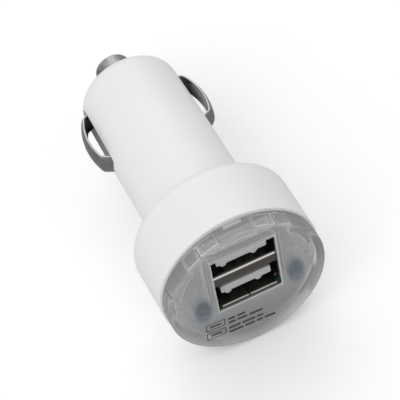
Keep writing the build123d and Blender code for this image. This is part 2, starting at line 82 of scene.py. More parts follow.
# Ink on the front cap: two outlined boxes, each with a bar in it, beside rows of plain bars
ink_depth_mm = 0.02
ink_tilt = -3.0
ink_corner_mm = (-9.6, -5.3)
box_count = 2
box_size_mm = (3.9, 1.9)
box_line_mm = 0.2
box_bar_mm = (2.2, 0.5)
box_drop_mm = 2.55
row_start_mm = 4.55
row_tops_mm = (0.35, 1.45, 3.0, 4.2)
row_bars_mm = ((1.4, 1.7), (1.4, 2.0, 2.7), (2.3, 2.6, 1.3), (2.8, 2.0, 1.2, 2.2))
bar_height_mm = 0.6
bar_gap_mm = 0.4

# Flared front lip of the connector shell, in two halves beside the shell's seam
lip_drop_mm = 0.72
lip_forward_mm = 0.3
lip_half_mm = 5.5
lip_seam_half_mm = 0.18
lip_bend_steps = 5

# Clear cap: its place, and the share of light that goes straight through each part of it
cap_low, cap_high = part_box("front_cap")
cap_front = cap_low.y
cap_radius = cap_high.x
cap_depth_mm = 4.0
cap_corner_mm = 1.3
cap_skin_mm = 0.3
cap_clearness = 0.79
rim_clearness = 0.75
edge_clearness = 0.12
seat_clearness = 0.45
# Its pale lines: how wide an edge looks and how far it turns, and the band where it sits on the head
edge_line_mm = 0.25
edge_turn = (0.88, 0.985)
seat_band_mm = 0.6
# Its frosted front: the depths where the frosting is full and gone, the heights where its lower part,
# painted a darker grey as painted shade and letting less light through, is full and gone, the share of
# clearness it leaves at the top and the bottom, and how far in from the wall its paler ring of painted light
# starts and is full
frost_depth_mm = (0.1, 0.9)
frost_and_shade_heights_mm = (-8.0, 3.0)
frost_clearness = (0.95, 0.62)
painted_light_ring_reach_mm = (3.6, 0.9)
# Painted light: the lamps' dull blue, painted on the cap as an oval in front of each lamp, which fades out
# between two shares of its size
lamp_shine_mm = (3.6, 6.8)
lamp_shine_lift_mm = 0.3
lamp_shine_fade = (0.7, 1.15)
lamp_shine_share = 0.85

# Small soldered parts: how sharply the tinned ends begin, and the bare share of a body without any
tin_edge_mm = 0.02
all_bare = 1.2

# Shared by the finishes: the range that noise really fills, a mask that falls from full to none, and the
# depth of a fine grain
noise_range = {"From Min": 0.3, "From Max": 0.7}
falling = {"To Min": 1.0, "To Max": 0.0}
fine_depth_mm = 0.02

# Studio, in metres and watts
floor_size = 6.0
floor_glow = 0.045
sky_strength = 0.76
sky_heights = (-0.1, 0.5)
room_share = 0.5
backdrop_strength = 0.95
key_place = (-0.45, -0.30, 0.62)
key_size = 0.7
key_power = 1.95
back_place = (0.15, 0.55, 0.60)
back_size = 0.6
back_power = 1.0


def linear(code):
    """An sRGB hex colour as linear red, green, blue and alpha."""
    shares = [int(code[i : i + 2], 16) / 255 for i in (1, 3, 5)]
    return [s / 12.92 if s <= 0.04045 else ((s + 0.055) / 1.055) ** 2.4 for s in shares] + [1.0]


def per_size(*sizes_mm):
    """Texture scale at which one cell of the pattern has this size along each axis."""
    scales = [1 / (size * MM) for size in sizes_mm]
    return scales[0] if len(scales) == 1 else scales


def add(tree, kind, inputs=None, **settings):
    """A node of this kind. Settings are its own properties; inputs are values or other nodes' sockets."""
    made = tree.nodes.new(kind)
    for name, value in settings.items():
        setattr(made, name, value)
    for name, value in (inputs or {}).items():
        if isinstance(value, bpy.types.NodeSocket):
            tree.links.new(value, made.inputs[name])
        else:
            made.inputs[name].default_value = value
    return made


def new_material(name):
    """An empty material, its node tree and the place on the piece that its patterns follow."""
    material = bpy.data.materials.new(name)
    material.use_nodes = True
    tree = material.node_tree
    tree.nodes.clear()
    place = add(tree, "ShaderNodeTexCoord").outputs["Object"]
    return material, tree, place


def give(material, *names):
    """These nodes of the model wear this material."""
    for name in names:
        mesh = nodes[name].data
        mesh.materials.clear()
        mesh.materials.append(material)


def moulded_white_abs():
    """ABS, injection moulded in a fine-sparked tool: an even white with a soft satin sheen."""
    material, tree, place = new_material("moulded_white_ABS")
    drift_mm = 14.0
    # The sparked grain is about 0.05 mm wide, drawn at 0.3 mm so that it shows
    grain_mm = 0.3
    # Moulded edges are never quite sharp, and their rounding catches the light
    rounding_mm = 0.15
    drift = add(tree, "ShaderNodeTexNoise", {"Vector": place, "Scale": per_size(drift_mm), "Detail": 2.0})
    grain = add(tree, "ShaderNodeTexNoise", {"Vector": place, "Scale": per_size(grain_mm), "Detail": 3.0})
    tone = add(
        tree,
        "ShaderNodeMixRGB",
        {"Fac": drift.outputs["Fac"], "Color1": linear("#E5E5E5"), "Color2": linear("#EBEBEA")},
    )
    sheen = add(
        tree,
        "ShaderNodeMapRange",
        {"Value": grain.outputs["Fac"], **noise_range, "To Min": 0.38, "To Max": 0.48},
    )
    edge = add(tree, "ShaderNodeBevel", {"Radius": rounding_mm * MM}, samples=4)
    bump = add(
        tree,
        "ShaderNodeBump",
        {
            "Strength": 0.12,
            "Distance": fine_depth_mm * MM,
            "Height": grain.outputs["Fac"],
            "Normal": edge.outputs["Normal"],
        },
    )
    shader = add(
        tree,
        "ShaderNodeBsdfPrincipled",
        {
            "Base Color": tone.outputs["Color"],
            "Roughness": sheen.outputs["Result"],
            "IOR": 1.54,
            "Normal": bump.outputs["Normal"],
        },
    )
    add(tree, "ShaderNodeOutputMaterial", {"Surface": shader.outputs["BSDF"]})
    return material


def painted_lamp_shine(tree, spot):
    """Share of a lamp's dull blue, painted on the cap as painted light, at each place: an upright oval in
    front of each lamp.
    """
    low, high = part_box("right_lamp")
    lamp_middle = ((low.x + high.x) / 2, 0, high.z + lamp_shine_lift_mm * MM)
    per_half_width, per_half_height = per_size(*[size / 2 for size in lamp_shine_mm])
    beside = add(tree, "ShaderNodeMath", {0: spot["X"]}, operation="ABSOLUTE")
    mirrored = add(tree, "ShaderNodeCombineXYZ", {"X": beside.outputs["Value"], "Z": spot["Z"]})
    from_lamp = add(
        tree,
        "ShaderNodeVectorMath",
        {0: mirrored.outputs["Vector"], 1: lamp_middle},
        operation="SUBTRACT",
    )
    stretched = add(
        tree,
        "ShaderNodeVectorMath",
        {0: from_lamp.outputs["Vector"], 1: (per_half_width, 0, per_half_height)},
        operation="MULTIPLY",
    )
    reach = add(tree, "ShaderNodeVectorMath", {0: stretched.outputs["Vector"]}, operation="LENGTH")
    shine = add(
        tree,
        "ShaderNodeMapRange",
        {
            "Value": reach.outputs["Value"],
            "From Min": lamp_shine_fade[0],
            "From Max": lamp_shine_fade[1],
            "To Min": lamp_shine_share,
            "To Max": 0.0,
        },
    )
    return shine.outputs["Result"]


def cap_edges(tree):
    """Share of pale line at each place: an edge is where the surface turns away from its own rounding."""
    face = add(tree, "ShaderNodeNewGeometry").outputs["Normal"]
    rounded = add(tree, "ShaderNodeBevel", {"Radius": edge_line_mm * MM}, samples=8)
    flat = add(
        tree,
        "ShaderNodeVectorMath",
        {0: face, 1: rounded.outputs["Normal"]},
        operation="DOT_PRODUCT",
    )
    edge = add(
        tree,
        "ShaderNodeMapRange",
        {"Value": flat.outputs["Value"], "From Min": edge_turn[0], "From Max": edge_turn[1], **falling},
    )
    return edge.outputs["Result"]


def cap_traits(tree, place):
    """Where each trait of the cap's plastic and each of its painted light and shade shows, as shares from
    none to full, and the radius there.
    """
    spot = add(tree, "ShaderNodeSeparateXYZ", {"Vector": place}).outputs
    level = add(tree, "ShaderNodeVectorMath", {0: place, 1: (1, 0, 1)}, operation="MULTIPLY")
    radius = add(tree, "ShaderNodeVectorMath", {0: level.outputs["Vector"]}, operation="LENGTH")
    # The front face is blasted. Towards the bottom it lets less light through and is painted a darker grey,
    # as painted shade
    front = add(
        tree,
        "ShaderNodeMapRange",
        {
            "Value": spot["Y"],
            "From Min": cap_front + frost_depth_mm[0] * MM,
            "From Max": cap_front + frost_depth_mm[1] * MM,
            **falling,
        },
    )
    lower = add(
        tree,
        "ShaderNodeMapRange",
        {
            "Value": spot["Z"],
            "From Min": frost_and_shade_heights_mm[0] * MM,
            "From Max": frost_and_shade_heights_mm[1] * MM,
            **falling,
        },
        interpolation_type="SMOOTHSTEP",
    )
    # Beside the rounded corner that grey turns paler, as painted light
    ring = add(
        tree,
        "ShaderNodeMapRange",
        {
            "Value": radius.outputs["Value"],
            "From Min": cap_radius - painted_light_ring_reach_mm[0] * MM,
            "From Max": cap_radius - painted_light_ring_reach_mm[1] * MM,
        },
    )
    outside = add(
        tree,
        "ShaderNodeMapRange",
        {
            "Value": radius.outputs["Value"],
            "From Min": cap_radius - 2 * cap_skin_mm * MM,
            "From Max": cap_radius - cap_skin_mm * MM,
        },
    )
    # Where the outer wall sits on the head, the joint gathers light as a pale band
    head_rim = cap_front + cap_depth_mm * MM
    near_head = add(
        tree,
        "ShaderNodeMapRange",
        {
            "Value": spot["Y"],
            "From Min": head_rim - seat_band_mm * MM,
            "From Max": head_rim - seat_band_mm * MM / 2,
        },
    )
    seat = add(
        tree,
        "ShaderNodeMath",
        {0: near_head.outputs["Result"], 1: outside.outputs["Result"]},
        operation="MULTIPLY",
    )
    return {
        "radius": radius.outputs["Value"],
        "front": front.outputs["Result"],
        "lower": lower.outputs["Result"],
        "ring": ring.outputs["Result"],
        "outside": outside.outputs["Result"],
        "seat": seat.outputs["Value"],
        "shine": painted_lamp_shine(tree, spot),
        "edge": cap_edges(tree),
    }


def cap_tone(tree, place, at):
    """The cap's colour: clouded milk, a greyer side wall, a face painted darker grey towards the bottom as
    painted shade and paler near its corner as painted light, the lamps' dull blue painted in front of them
    as painted light, white edges.
    """
    cloud_mm = 4.0
    cloud = add(tree, "ShaderNodeTexNoise", {"Vector": place, "Scale": per_size(cloud_mm), "Detail": 3.0})
    milk = add(
        tree,
        "ShaderNodeMixRGB",
        {"Fac": cloud.outputs["Fac"], "Color1": linear("#F3F4F5"), "Color2": linear("#FDFDFD")},
    )
    # Painted shade and light: the face's grey, paler towards the rounded corner
    painted_shade_and_light_grey = add(
        tree,
        "ShaderNodeMixRGB",
        {"Fac": at["ring"], "Color1": linear("#AEAFB0"), "Color2": linear("#D6D7D8")},
    )
    # The frosted face: near white at the top, the painted grey towards the bottom
    frosted_face_with_painted_shade = add(
        tree,
        "ShaderNodeMixRGB",
        {"Fac": at["lower"], "Color1": linear("#EEEFF0"), "Color2": painted_shade_and_light_grey.outputs["Color"]},
    )
    tone = milk.outputs["Color"]
    # The blue over each lamp is painted light, standing for the lamp seen through the frosted cap
    for trait, colour in (
        ("outside", linear("#E2E3E4")),
        ("front", frosted_face_with_painted_shade.outputs["Color"]),
        ("shine", linear("#93A0AA")),
        ("edge", linear("#FDFDFD")),
    ):
        layer = add(tree, "ShaderNodeMixRGB", {"Fac": at[trait], "Color1": tone, "Color2": colour})
        tone = layer.outputs["Color"]
    return tone


def cap_openness(tree, at):
    """Share of light that goes straight through the cap: least at its edges, its seat and its lower face."""
    # The thick corner round the face scatters more than the face itself
    body = add(
        tree,
        "ShaderNodeMapRange",
        {
            "Value": at["radius"],
            "From Min": cap_radius - cap_corner_mm * MM,
            "From Max": cap_radius - cap_skin_mm * MM,
            "To Min": cap_clearness,
            "To Max": rim_clearness,
        },
    )
    past_edges = add(
        tree,
        "ShaderNodeMapRange",
        {"Value": at["edge"], "To Min": 1.0, "To Max": edge_clearness},
    )
    past_seat = add(
        tree,
        "ShaderNodeMapRange",
        {"Value": at["seat"], "To Min": 1.0, "To Max": seat_clearness},
    )
    past_lines = add(
        tree,
        "ShaderNodeMath",
        {0: past_edges.outputs["Result"], 1: past_seat.outputs["Result"]},
        operation="MINIMUM",
    )
    left_open = add(
        tree,
        "ShaderNodeMapRange",
        {"Value": at["lower"], "To Min": frost_clearness[0], "To Max": frost_clearness[1]},
    )
    past_frost = add(
        tree,
        "ShaderNodeMapRange",
        {"Value": at["front"], "To Min": 1.0, "To Max": left_open.outputs["Result"]},
    )
    frosted_body = add(
        tree,
        "ShaderNodeMath",
        {0: body.outputs["Result"], 1: past_frost.outputs["Result"]},
        operation="MULTIPLY",
    )
    openness = add(
        tree,
        "ShaderNodeMath",
        {0: frosted_body.outputs["Value"], 1: past_lines.outputs["Value"]},
        operation="MULTIPLY",
    )
    return openness.outputs["Value"]


def frosted_polycarbonate():
    """Polycarbonate, moulded milky clear: soft shapes show through, and edges gather light as pale lines."""
    material, tree, place = new_material("frosted_clear_polycarbonate")
    # The blasted face has pits of about 0.03 mm, drawn at 0.25 mm so that they show
    pit_mm = 0.25
    pits = add(tree, "ShaderNodeTexNoise", {"Vector": place, "Scale": per_size(pit_mm), "Detail": 2.0})
    haze = add(
        tree,
        "ShaderNodeMapRange",
        {"Value": pits.outputs["Fac"], **noise_range, "To Min": 0.05, "To Max": 0.09},
    )
    bump = add(
        tree,
        "ShaderNodeBump",
        {"Strength": 0.02, "Distance": fine_depth_mm * MM, "Height": pits.outputs["Fac"]},
    )
    traits = cap_traits(tree, place)
    # Clear stock has an index of 1.585. The milky body bends what shows through it far less sharply
    shader = add(
        tree,
        "ShaderNodeBsdfPrincipled",
        {
            "Base Color": cap_tone(tree, place, traits),
            "Roughness": haze.outputs["Result"],
            "IOR": 1.2,
            "Transmission Weight": cap_openness(tree, traits),
            "Normal": bump.outputs["Normal"],
        },
    )
    # Where the pattern can't be shown, the whole cap is as clear as its body
    shader.inputs["Transmission Weight"].default_value = cap_clearness
    add(tree, "ShaderNodeOutputMaterial", {"Surface": shader.outputs["BSDF"]})
    return material


def plated_folded_steel():
    """Steel sheet, nickel plated and folded: dull grey faces with rolling lines, and bends and edges painted
    near white as a painted highlight.
    """
    material, tree, place = new_material("nickel_plated_folded_steel")
    # Rolling lines are a few hundredths wide, drawn at 0.15 mm so that they show
    line_mm = (6.0, 2.0, 0.15)
    bend_mm = 0.15
    # On a bend or an edge the surface faces none of the three axes squarely
    square_facing = (0.74, 0.9)
    along = add(tree, "ShaderNodeMapping", {"Vector": place, "Scale": per_size(*line_mm)}).outputs["Vector"]
    lines = add(tree, "ShaderNodeTexNoise", {"Vector": along, "Scale": 1.0, "Detail": 2.0})
    face = add(
        tree,
        "ShaderNodeMixRGB",
        {"Fac": lines.outputs["Fac"], "Color1": linear("#605E5C"), "Color2": linear("#7B7876")},
    )
    rounded = add(tree, "ShaderNodeBevel", {"Radius": bend_mm * MM}, samples=8)
    shares = add(tree, "ShaderNodeVectorMath", {0: rounded.outputs["Normal"]}, operation="ABSOLUTE")
    share = add(tree, "ShaderNodeSeparateXYZ", {"Vector": shares.outputs["Vector"]}).outputs
    level = add(tree, "ShaderNodeMath", {0: share["X"], 1: share["Y"]}, operation="MAXIMUM")
    square = add(tree, "ShaderNodeMath", {0: level.outputs["Value"], 1: share["Z"]}, operation="MAXIMUM")
    painted_bend_highlight = add(
        tree,
        "ShaderNodeMapRange",
        {
            "Value": square.outputs["Value"],
            "From Min": square_facing[0],
            "From Max": square_facing[1],
            **falling,
        },
    )
    # Painted highlight: bends and edges painted near white, and made glossier
    tone = add(
        tree,
        "ShaderNodeMixRGB",
        {"Fac": painted_bend_highlight.outputs["Result"], "Color1": face.outputs["Color"], "Color2": linear("#F4F1EC")},
    )
    polish = add(
        tree,
        "ShaderNodeMapRange",
        {"Value": painted_bend_highlight.outputs["Result"], "To Min": 0.32, "To Max": 0.2},
    )
    bump = add(
        tree,
        "ShaderNodeBump",
        {
            "Strength": 0.05,
            "Distance": fine_depth_mm * MM,
            "Height": lines.outputs["Fac"],
            "Normal": rounded.outputs["Normal"],
        },
    )
    shader = add(
        tree,
        "ShaderNodeBsdfPrincipled",
        {
            "Base Color": tone.outputs["Color"],
            "Metallic": 1.0,
            "Roughness": polish.outputs["Result"],
            "Normal": bump.outputs["Normal"],
        },
    )
    add(tree, "ShaderNodeOutputMaterial", {"Surface": shader.outputs["BSDF"]})
    return material


def moulded_grey_nylon():
    """Glass-filled nylon, moulded: a dry pale grey with faint flow marks along the tongue."""
    material, tree, place = new_material("moulded_grey_nylon")
    flow_mm = (0.8, 4.0, 0.8)
    # Glass fibres are a hundredth wide, drawn at 0.15 mm so that they show
    fibre_mm = 0.15
    rounding_mm = 0.1
    flow = add(tree, "ShaderNodeMapping", {"Vector": place, "Scale": per_size(*flow_mm)}).outputs["Vector"]
    marks = add(tree, "ShaderNodeTexNoise", {"Vector": flow, "Scale": 1.0, "Detail": 3.0})
    fibres = add(tree, "ShaderNodeTexNoise", {"Vector": place, "Scale": per_size(fibre_mm), "Detail": 1.0})
    tone = add(
        tree,
        "ShaderNodeMixRGB",
        {"Fac": marks.outputs["Fac"], "Color1": linear("#A0A09F"), "Color2": linear("#BCBCBB")},
    )
    sheen = add(
        tree,
        "ShaderNodeMapRange",
        {"Value": fibres.outputs["Fac"], **noise_range, "To Min": 0.42, "To Max": 0.6},
    )
    edge = add(tree, "ShaderNodeBevel", {"Radius": rounding_mm * MM}, samples=4)
    bump = add(
        tree,
        "ShaderNodeBump",
        {
            "Strength": 0.15,
            "Distance": fine_depth_mm * MM,
            "Height": fibres.outputs["Fac"],
            "Normal": edge.outputs["Normal"],
        },
    )
    shader = add(
        tree,
        "ShaderNodeBsdfPrincipled",
        {
            "Base Color": tone.outputs["Color"],
            "Roughness": sheen.outputs["Result"],
            "IOR": 1.53,
            "Normal": bump.outputs["Normal"],
        },
    )
    add(tree, "ShaderNodeOutputMaterial", {"Surface": shader.outputs["BSDF"]})
    return material


def drawn_metal(name, dark, bright, stain, polish, line_mm, stain_mm, stained):
    """Plated metal, rolled or drawn along the axis: long fine lines, and a brownish bloom in patches."""
    material, tree, place = new_material(name)
    line_length_mm = 40 * line_mm
    line_dulling = 0.12
    bloom_range = (0.45, 0.7)
    edge_mm = 0.08
    drawn = per_size(line_mm, line_length_mm, line_mm)
    along = add(tree, "ShaderNodeMapping", {"Vector": place, "Scale": drawn}).outputs["Vector"]
    lines = add(tree, "ShaderNodeTexNoise", {"Vector": along, "Scale": 1.0, "Detail": 3.0})
    bloom = add(tree, "ShaderNodeTexNoise", {"Vector": place, "Scale": per_size(stain_mm), "Detail": 3.0})
    metal = add(
        tree,
        "ShaderNodeMixRGB",
        {"Fac": lines.outputs["Fac"], "Color1": linear(dark), "Color2": linear(bright)},
    )
    share = add(
        tree,
        "ShaderNodeMapRange",
        {
            "Value": bloom.outputs["Fac"],
            "From Min": bloom_range[0],
            "From Max": bloom_range[1],
            "To Min": 0.0,
            "To Max": stained,
        },
    )
    tone = add(
        tree,
        "ShaderNodeMixRGB",
        {"Fac": share.outputs["Result"], "Color1": metal.outputs["Color"], "Color2": linear(stain)},
    )
    gloss = add(
        tree,
        "ShaderNodeMapRange",
        {"Value": lines.outputs["Fac"], **noise_range, "To Min": polish, "To Max": polish + line_dulling},
    )
    edge = add(tree, "ShaderNodeBevel", {"Radius": edge_mm * MM}, samples=6)
    bump = add(
        tree,
        "ShaderNodeBump",
        {
            "Strength": 0.06,
            "Distance": fine_depth_mm * MM,
            "Height": lines.outputs["Fac"],
            "Normal": edge.outputs["Normal"],
        },
    )
    shader = add(
        tree,
        "ShaderNodeBsdfPrincipled",
        {
            "Base Color": tone.outputs["Color"],
            "Metallic": 1.0,
            "Roughness": gloss.outputs["Result"],
            "Normal": bump.outputs["Normal"],
        },
    )
    add(tree, "ShaderNodeOutputMaterial", {"Surface": shader.outputs["BSDF"]})
    return material


def masked_circuit_board():
    """Glass laminate under green solder mask: raised tracks in a lighter green, nearly black under the
    connector as painted shade, brown sawn edges darkened further as painted shade.
    """
    material, tree, place = new_material("solder_masked_glass_laminate")
    track_mm = 0.16
    track_run_mm = 3.4
    track_pitch_mm = 1.3
    track_depth_mm = 0.04
    # Under the connector the mask is painted nearly black, as painted shade
    painted_shade_half_mm = (4.6, 5.0)
    # Woven glass lies in layers of about 0.2 mm, seen at the sawn edge
    weave_mm = (1.5, 1.5, 0.2)
    in_mm = add(tree, "ShaderNodeMapping", {"Vector": place, "Scale": per_size(1.0, 1.0, 1.0)})
    tracks = add(
        tree,
        "ShaderNodeTexBrick",
        {
            "Vector": in_mm.outputs["Vector"],
            "Color1": linear("#0F3A21"),
            "Color2": linear("#144528"),
            "Mortar": linear("#22603B"),
            "Scale": 1.0,
            "Mortar Size": track_mm,
            "Brick Width": track_run_mm,
            "Row Height": track_pitch_mm,
        },
    )
    across = add(tree, "ShaderNodeSeparateXYZ", {"Vector": in_mm.outputs["Vector"]}).outputs["X"]
    beside = add(tree, "ShaderNodeMath", {0: across}, operation="ABSOLUTE")
    bare = add(
        tree,
        "ShaderNodeMapRange",
        {"Value": beside.outputs["Value"], "From Min": painted_shade_half_mm[0], "From Max": painted_shade_half_mm[1]},
    )
    # Painted shade: nearly black where the connector stands over the board
    mask = add(
        tree,
        "ShaderNodeMixRGB",
        {"Fac": bare.outputs["Result"], "Color1": linear("#08150E"), "Color2": tracks.outputs["Color"]},
    )
    face = add(tree, "ShaderNodeNewGeometry").outputs["Normal"]
    up = add(tree, "ShaderNodeSeparateXYZ", {"Vector": face}).outputs["Z"]
    level = add(tree, "ShaderNodeMath", {0: up}, operation="ABSOLUTE")
    layers = add(tree, "ShaderNodeMapping", {"Vector": place, "Scale": per_size(*weave_mm)})
    weave = add(
        tree,
        "ShaderNodeTexNoise",
        {"Vector": layers.outputs["Vector"], "Scale": 1.0, "Detail": 2.0},
    )
    # The sawn edge: its own brown, darkened further as painted shade
    sawn = add(
        tree,
        "ShaderNodeMixRGB",
        {"Fac": weave.outputs["Fac"], "Color1": linear("#1F1C13"), "Color2": linear("#39341F")},
    )
    tone = add(
        tree,
        "ShaderNodeMixRGB",
        {"Fac": level.outputs["Value"], "Color1": sawn.outputs["Color"], "Color2": mask.outputs["Color"]},
    )
    sheen = add(
        tree,
        "ShaderNodeMapRange",
        {"Value": level.outputs["Value"], "To Min": 0.7, "To Max": 0.32},
    )
    bump = add(
        tree,
        "ShaderNodeBump",
        {"Strength": 0.4, "Distance": track_depth_mm * MM, "Height": tracks.outputs["Fac"]},
    )
    shader = add(
        tree,
        "ShaderNodeBsdfPrincipled",
        {
            "Base Color": tone.outputs["Color"],
            "Roughness": sheen.outputs["Result"],
            "IOR": 1.52,
            "Normal": bump.outputs["Normal"],
        },
    )
    add(tree, "ShaderNodeOutputMaterial", {"Surface": shader.outputs["BSDF"]})
    return material


def cast_blue_epoxy():
    """Epoxy, cast in a mould cup: a clear, faintly blue lens with a dull dimpled skin."""
    material, tree, place = new_material("cast_clear_blue_epoxy")
    cloud_mm = 2.0
    dimple_mm = 0.4
    cloud = add(tree, "ShaderNodeTexNoise", {"Vector": place, "Scale": per_size(cloud_mm), "Detail": 2.0})
    tone = add(
        tree,
        "ShaderNodeMixRGB",
        {"Fac": cloud.outputs["Fac"], "Color1": linear("#1E3346"), "Color2": linear("#364E63")},
    )
    dimples = add(tree, "ShaderNodeTexNoise", {"Vector": place, "Scale": per_size(dimple_mm), "Detail": 1.0})
    gloss = add(
        tree,
        "ShaderNodeMapRange",
        {"Value": dimples.outputs["Fac"], **noise_range, "To Min": 0.1, "To Max": 0.2},
    )
    bump = add(
        tree,
        "ShaderNodeBump",
        {"Strength": 0.1, "Distance": fine_depth_mm * MM, "Height": dimples.outputs["Fac"]},
    )
    shader = add(
        tree,
        "ShaderNodeBsdfPrincipled",
        {
            "Base Color": tone.outputs["Color"],
            "Roughness": gloss.outputs["Result"],
            "IOR": 1.54,
            "Transmission Weight": 0.3,
            "Normal": bump.outputs["Normal"],
        },
    )
    add(tree, "ShaderNodeOutputMaterial", {"Surface": shader.outputs["BSDF"]})
    return material


def sleeved_capacitor_can():
    """Aluminium can in a shrunk PVC sleeve: glossy near-black, one pale stripe along it, bare ends."""
    material, tree, place = new_material("shrunk_PVC_over_aluminium")
    # The shrunk film has ripples of about 0.8 mm
    ripple_mm = 0.8
    ripple_depth_mm = 0.05
    stripe_half_turn = (0.42, 0.46)
    end_facing = (0.93, 0.98)
    low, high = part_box("output_capacitor")
    middle = (low + high) / 2
    spot = add(tree, "ShaderNodeSeparateXYZ", {"Vector": place})
    beside = add(tree, "ShaderNodeMath", {0: spot.outputs["X"]}, operation="ABSOLUTE")
    across = add(tree, "ShaderNodeMath", {0: beside.outputs["Value"], 1: middle.x}, operation="SUBTRACT")
    above = add(tree, "ShaderNodeMath", {0: spot.outputs["Z"], 1: middle.z}, operation="SUBTRACT")
    turn = add(
        tree,
        "ShaderNodeMath",
        {0: across.outputs["Value"], 1: above.outputs["Value"]},
        operation="ARCTAN2",
    )
    off_stripe = add(tree, "ShaderNodeMath", {0: turn.outputs["Value"]}, operation="ABSOLUTE")
    stripe = add(
        tree,
        "ShaderNodeMapRange",
        {
            "Value": off_stripe.outputs["Value"],
            "From Min": stripe_half_turn[0],
            "From Max": stripe_half_turn[1],
            **falling,
        },
    )
    ripples = add(tree, "ShaderNodeTexNoise", {"Vector": place, "Scale": per_size(ripple_mm), "Detail": 2.0})
    film = add(
        tree,
        "ShaderNodeMixRGB",
        {"Fac": ripples.outputs["Fac"], "Color1": linear("#16161B"), "Color2": linear("#24242C")},
    )
    sleeve = add(
        tree,
        "ShaderNodeMixRGB",
        {"Fac": stripe.outputs["Result"], "Color1": film.outputs["Color"], "Color2": linear("#B9B9BC")},
    )
    face = add(tree, "ShaderNodeNewGeometry").outputs["Normal"]
    along = add(tree, "ShaderNodeSeparateXYZ", {"Vector": face}).outputs["Y"]
    facing_end = add(tree, "ShaderNodeMath", {0: along}, operation="ABSOLUTE")
    bare = add(
        tree,
        "ShaderNodeMapRange",
        {"Value": facing_end.outputs["Value"], "From Min": end_facing[0], "From Max": end_facing[1]},
    )
    tone = add(
        tree,
        "ShaderNodeMixRGB",
        {"Fac": bare.outputs["Result"], "Color1": sleeve.outputs["Color"], "Color2": linear("#C9C9CA")},
    )
    gloss = add(
        tree,
        "ShaderNodeMapRange",
        {"Value": ripples.outputs["Fac"], **noise_range, "To Min": 0.22, "To Max": 0.36},
    )
    bump = add(
        tree,
        "ShaderNodeBump",
        {"Strength": 0.15, "Distance": ripple_depth_mm * MM, "Height": ripples.outputs["Fac"]},
    )
    shader = add(
        tree,
        "ShaderNodeBsdfPrincipled",
        {
            "Base Color": tone.outputs["Color"],
            "Metallic": bare.outputs["Result"],
            "Roughness": gloss.outputs["Result"],
            "Normal": bump.outputs["Normal"],
        },
    )
    add(tree, "ShaderNodeOutputMaterial", {"Surface": shader.outputs["BSDF"]})
    return material


def sintered_ferrite():
    """Ferrite, pressed and sintered: charcoal grey, dry, with open pores."""
    material, tree, place = new_material("sintered_ferrite")
    # Pores are a few hundredths wide, drawn at 0.2 mm so that they show
    pore_mm = 0.2
    pore_depth_mm = 0.03
    pores = add(tree, "ShaderNodeTexVoronoi", {"Vector": place, "Scale": per_size(pore_mm)})
    tone = add(
        tree,
        "ShaderNodeMixRGB",
        {"Fac": pores.outputs["Distance"], "Color1": linear("#1E1E20"), "Color2": linear("#36363A")},
    )
    sheen = add(
        tree,
        "ShaderNodeMapRange",
        {"Value": pores.outputs["Distance"], "To Min": 0.8, "To Max": 0.55},
    )
    bump = add(
        tree,
        "ShaderNodeBump",
        {"Strength": 0.3, "Distance": pore_depth_mm * MM, "Height": pores.outputs["Distance"]},
    )
    shader = add(
        tree,
        "ShaderNodeBsdfPrincipled",
        {
            "Base Color": tone.outputs["Color"],
            "Roughness": sheen.outputs["Result"],
            "Normal": bump.outputs["Normal"],
        },
    )
    add(tree, "ShaderNodeOutputMaterial", {"Surface": shader.outputs["BSDF"]})
    return material


def enamelled_copper():
    """Copper wire under clear enamel, wound: warm and glossy, each turn a slightly different red."""
    material, tree, place = new_material("enamelled_wound_copper")
    turn_mm = (9.0, 9.0, 0.63)
    turns = add(tree, "ShaderNodeMapping", {"Vector": place, "Scale": per_size(*turn_mm)}).outputs["Vector"]
    shade = add(tree, "ShaderNodeTexNoise", {"Vector": turns, "Scale": 1.0, "Detail": 2.0})
    tone = add(
        tree,
        "ShaderNodeMixRGB",
        {"Fac": shade.outputs["Fac"], "Color1": linear("#8E4A26"), "Color2": linear("#C67F4B")},
    )
    gloss = add(
        tree,
        "ShaderNodeMapRange",
        {"Value": shade.outputs["Fac"], **noise_range, "To Min": 0.22, "To Max": 0.34},
    )
    shader = add(
        tree,
        "ShaderNodeBsdfPrincipled",
        {
            "Base Color": tone.outputs["Color"],
            "Metallic": 1.0,
            "Roughness": gloss.outputs["Result"],
            "Coat Weight": 0.6,
            "Coat Roughness": 0.1,
        },
    )
    add(tree, "ShaderNodeOutputMaterial", {"Surface": shader.outputs["BSDF"]})
    return material


